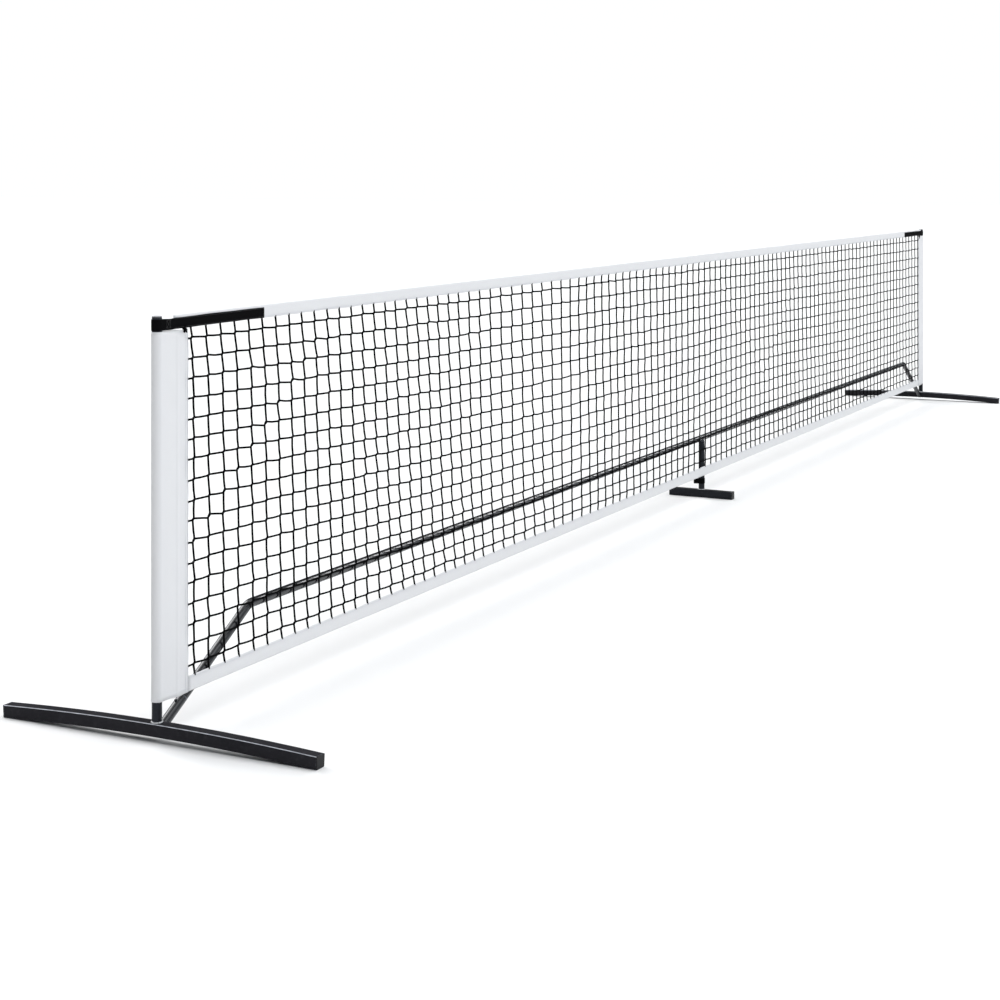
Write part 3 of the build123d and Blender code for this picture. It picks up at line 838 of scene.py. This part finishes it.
# ================================================================ lacing at the net's top corners
def corner_lace(side, drop):
    """A cord that ties the mesh's corner up to the strap: two turns and a knot with cut ends."""
    inward = -SIDES[side]
    strap_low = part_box(f"strap_{side}")[0].z
    x = post_x[side] + inward * 0.0835
    front = net_y - 0.0030
    turns = []
    for shift in (-0.0016, 0.0012):
        turns.append(
            smooth_line(
                [
                    (x + shift, net_y - 0.0005, strap_low + 0.0050),
                    (x + shift - 0.0006, front - 0.0006, strap_low + 0.0018),
                    (x + shift * 0.8, front, strap_low - drop * 0.5),
                    (x + shift * 0.4, net_y - 0.0006, strap_low - drop),
                    (x + shift * 0.2 + 0.0010, net_y + 0.0022, strap_low - drop * 0.6),
                    (x + shift, net_y + 0.0026, strap_low + 0.0010),
                ],
                22,
            )
        )
    knot_at = np.array([x - inward * 0.0004, front - 0.0004, strap_low - 0.0042])
    angle = np.linspace(0, 2 * np.pi, 12, endpoint=False)
    rings = np.stack(
        [
            knot_at
            + np.stack(
                [
                    0.0037 * np.cos(angle + shift),
                    0.0009 * np.sin(2 * angle + shift),
                    0.0027 * np.sin(angle + shift) + rise,
                ],
                axis=1,
            )
            for shift, rise in ((0.3, 0.0010), (1.9, -0.0010))
        ]
    )
    ends = np.stack(
        [
            smooth_line(
                [
                    knot_at,
                    knot_at + (inward * side_step * 0.4, -0.0007, -0.0022),
                    knot_at + (inward * side_step, -0.0002, -fall),
                ],
                8,
            )
            for side_step, fall in ((-0.0058, 0.0040), (0.0052, 0.0062))
        ]
    )
    return [
        tube_mesh(np.stack(turns), 0.0017, 7, up=(1.0, 0.15, 0.0)),
        tube_mesh(rings, 0.0019, 7, closed=True),
        tube_mesh(ends, 0.0017, 7),
    ]


piece("corner_lace_left", corner_lace("left", 0.010), TWINE, "net")
piece("corner_lace_right", corner_lace("right", 0.019), TWINE, "net")

# ================================================================ tie round the centre post
tie_low, tie_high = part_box("post_tie")
post_low, post_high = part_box("centre_post")
centre_x, centre_y = (post_low.x + post_high.x) / 2, (post_low.y + post_high.y) / 2
tie_r = tube_r + 0.0009
turned = [
    (-tie_r * math.cos(a), tie_r * math.sin(a)) for a in np.linspace(0.05, 2 * math.pi - 0.35, 15)
]
tail = [
    (-tie_r - 0.0010, tie_high.y - centre_y - 0.0006),
    (-tie_r - 0.0001, 0.018),
    (-tie_r - 0.0001, 0.010),
]
tie_path = smooth_line(tail + [(-tie_r, 0.0035)] + [(x, -y) for x, y in turned], 70)
tie_rows = np.linspace(tie_low.z + 0.0006, tie_high.z - 0.0006, 7)
tie_grid = np.zeros((len(tie_path), len(tie_rows), 3))
tie_grid[..., 0] = centre_x + tie_path[:, :1]
tie_grid[..., 1] = centre_y + tie_path[:, 1:]
tail_share = smoothstep(tie_path[:, 1], 0.008, 0.027)[:, None] * (tie_path[:, :1] < -0.9 * tie_r)
tie_wave = 0.0004 * wobble(tie_path[:, :1] * 3, 81, (0.05, 0.09))
tie_grid[..., 2] = tie_rows[None, :] - 0.0010 * tail_share + tie_wave
post_tie = piece(
    "post_tie_webbing",
    [sheet_mesh(tie_grid, 0.0012)],
    WEBBING,
    "centre_foot",
    ("post_tie",),
)


# ================================================================ weld beads
WELD_HEIGHT = 0.002
WELD_RIPPLE = 0.0026


def weld_ring(x, y, z, around_r, width):
    """A rippled weld bead round a tube's foot: overlapping solidified drops."""
    angle = np.linspace(0, 2 * np.pi, 240, endpoint=False)
    path = np.stack(
        [x + around_r * np.cos(angle), y + around_r * np.sin(angle), np.full_like(angle, z)], axis=1
    )
    far = np.concatenate([[0.0], np.cumsum(np.linalg.norm(np.diff(path, axis=0), axis=1))])
    drop = np.abs(np.sin(np.pi * far / WELD_RIPPLE))
    radius = width * (0.86 + 0.16 * drop + 0.05 * np.sin(far * 911.0))
    path[:, 2] += WELD_HEIGHT * 0.12 * drop
    return tube_mesh(path[None], radius[None], 9, closed=True, up=(0.02, 0.01, 1.0))


for side in SIDES:
    low, high = uprights[side]
    post_y = (low.y + high.y) / 2
    bead = weld_ring(post_x[side], post_y, low.z - 0.0022, tube_r * 1.04, 0.0019)
    piece(f"weld_upright_{side}", [bead], WELD, "frame")

post_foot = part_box("centre_foot_tube")[1].z
bead = weld_ring(centre_x, centre_y, post_foot + 0.0008, tube_r * 1.06, 0.0020)
piece("weld_centre_post", [bead], WELD, "centre_foot")

# ================================================================ leaf springs under the snap buttons
for side in SIDES:
    joint = next(j for j in frame["joints"] if j["name"] == f"button_{side}_press")
    press = Vector(joint["axis"]).normalized()
    spring = nodes[f"button_spring_{side}"]
    reach = sorted((vertex.co.dot(press), vertex.index) for vertex in spring.data.vertices)
    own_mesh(spring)


# ================================================================ floor, light and camera
def studio_floor():
    look = Look("studio_floor", Specular_IOR_Level=0.1)
    tone = look.noise(0.35, 2.0)
    colour = look.blend(tone, (0.83, 0.83, 0.83), (0.86, 0.86, 0.86))
    grain = look.noise(90.0, 2.0)
    material = look.finish(colour, look.between(tone, 0.82, 0.9), look.bump(grain, 0.0005, 0.05))
    size = 60.0
    steps = np.linspace(-size, size, 9)
    grid = np.stack(np.meshgrid(steps, steps, [0.0], indexing="ij"), axis=-1)[:, :, 0]
    count = np.arange(81).reshape(9, 9)
    faces = np.concatenate([strips(count[i + 1], count[i]) for i in range(8)])
    mesh = bpy.data.meshes.new("floor")
    mesh.from_pydata(grid.reshape(-1, 3).tolist(), [], faces.tolist())
    mesh.materials.append(material)
    floor = bpy.data.objects.new("floor", mesh)
    bpy.context.scene.collection.objects.link(floor)


def aim(thing, place, target):
    thing.location = place
    thing.rotation_euler = (Vector(target) - Vector(place)).to_track_quat("-Z", "Y").to_euler()


def lamp(name, kind, place, target, energy, **settings):
    data = bpy.data.lights.new(name, kind)
    data.energy = energy
    for key, value in settings.items():
        setattr(data, key, value)
    made = bpy.data.objects.new(name, data)
    bpy.context.scene.collection.objects.link(made)
    aim(made, place, target)


def studio_world():
    """A plain white room, brighter towards the front and above, and dimmer past the left end."""
    world = bpy.data.worlds.new("studio")
    world.use_nodes = True
    tree = world.node_tree
    back = tree.nodes["Background"]
    place = tree.nodes.new("ShaderNodeTexCoord")
    facing = tree.nodes.new("ShaderNodeVectorMath")
    facing.operation = "DOT_PRODUCT"
    tree.links.new(place.outputs["Generated"], facing.inputs[0])
    facing.inputs[1].default_value = Vector((0.15, -0.94, 0.30)).normalized()
    level = tree.nodes.new("ShaderNodeMapRange")
    tree.links.new(facing.outputs["Value"], level.inputs[0])
    for socket, value in zip(list(level.inputs)[1:5], (-0.15, 0.85, 0.0, 1.0)):
        socket.default_value = value
    seen = tree.nodes.new("ShaderNodeLightPath")
    pick = tree.nodes.new("ShaderNodeMix")
    tree.links.new(seen.outputs["Is Camera Ray"], pick.inputs["Factor"])
    tree.links.new(level.outputs[0], pick.inputs["A"])
    pick.inputs["B"].default_value = 1.35
    back.inputs["Color"].default_value = (0.90, 0.95, 1.0, 1.0)
    tree.links.new(pick.outputs["Result"], back.inputs["Strength"])
    bpy.context.scene.world = world


studio_floor()
studio_world()
lamp("key", "SUN", (0.6, -0.9, 6.0), (0.0, 0.0, 0.0), 2.2, angle=math.radians(80))
lamp("rim", "SUN", (0.85, -0.15, 0.48), (0.0, 0.0, 0.0), 0.9, angle=math.radians(20))
lamp("back", "SUN", (0.25, 0.65, 0.70), (0.0, 0.0, 0.0), 2.2, angle=math.radians(36))

camera = bpy.data.objects.new("camera", bpy.data.cameras.new("camera"))
bpy.context.scene.collection.objects.link(camera)
camera.data.lens = 66.9
camera.data.sensor_width = 36.0
camera.data.shift_y = -0.3286
camera.location = (-6.597, -2.448, 1.225)
camera.rotation_euler = (math.radians(90.0), 0.0, math.radians(-63.42))
bpy.context.scene.camera = camera
bpy.context.scene.view_settings.view_transform = "Standard"
bpy.context.scene.view_settings.exposure = -0.28
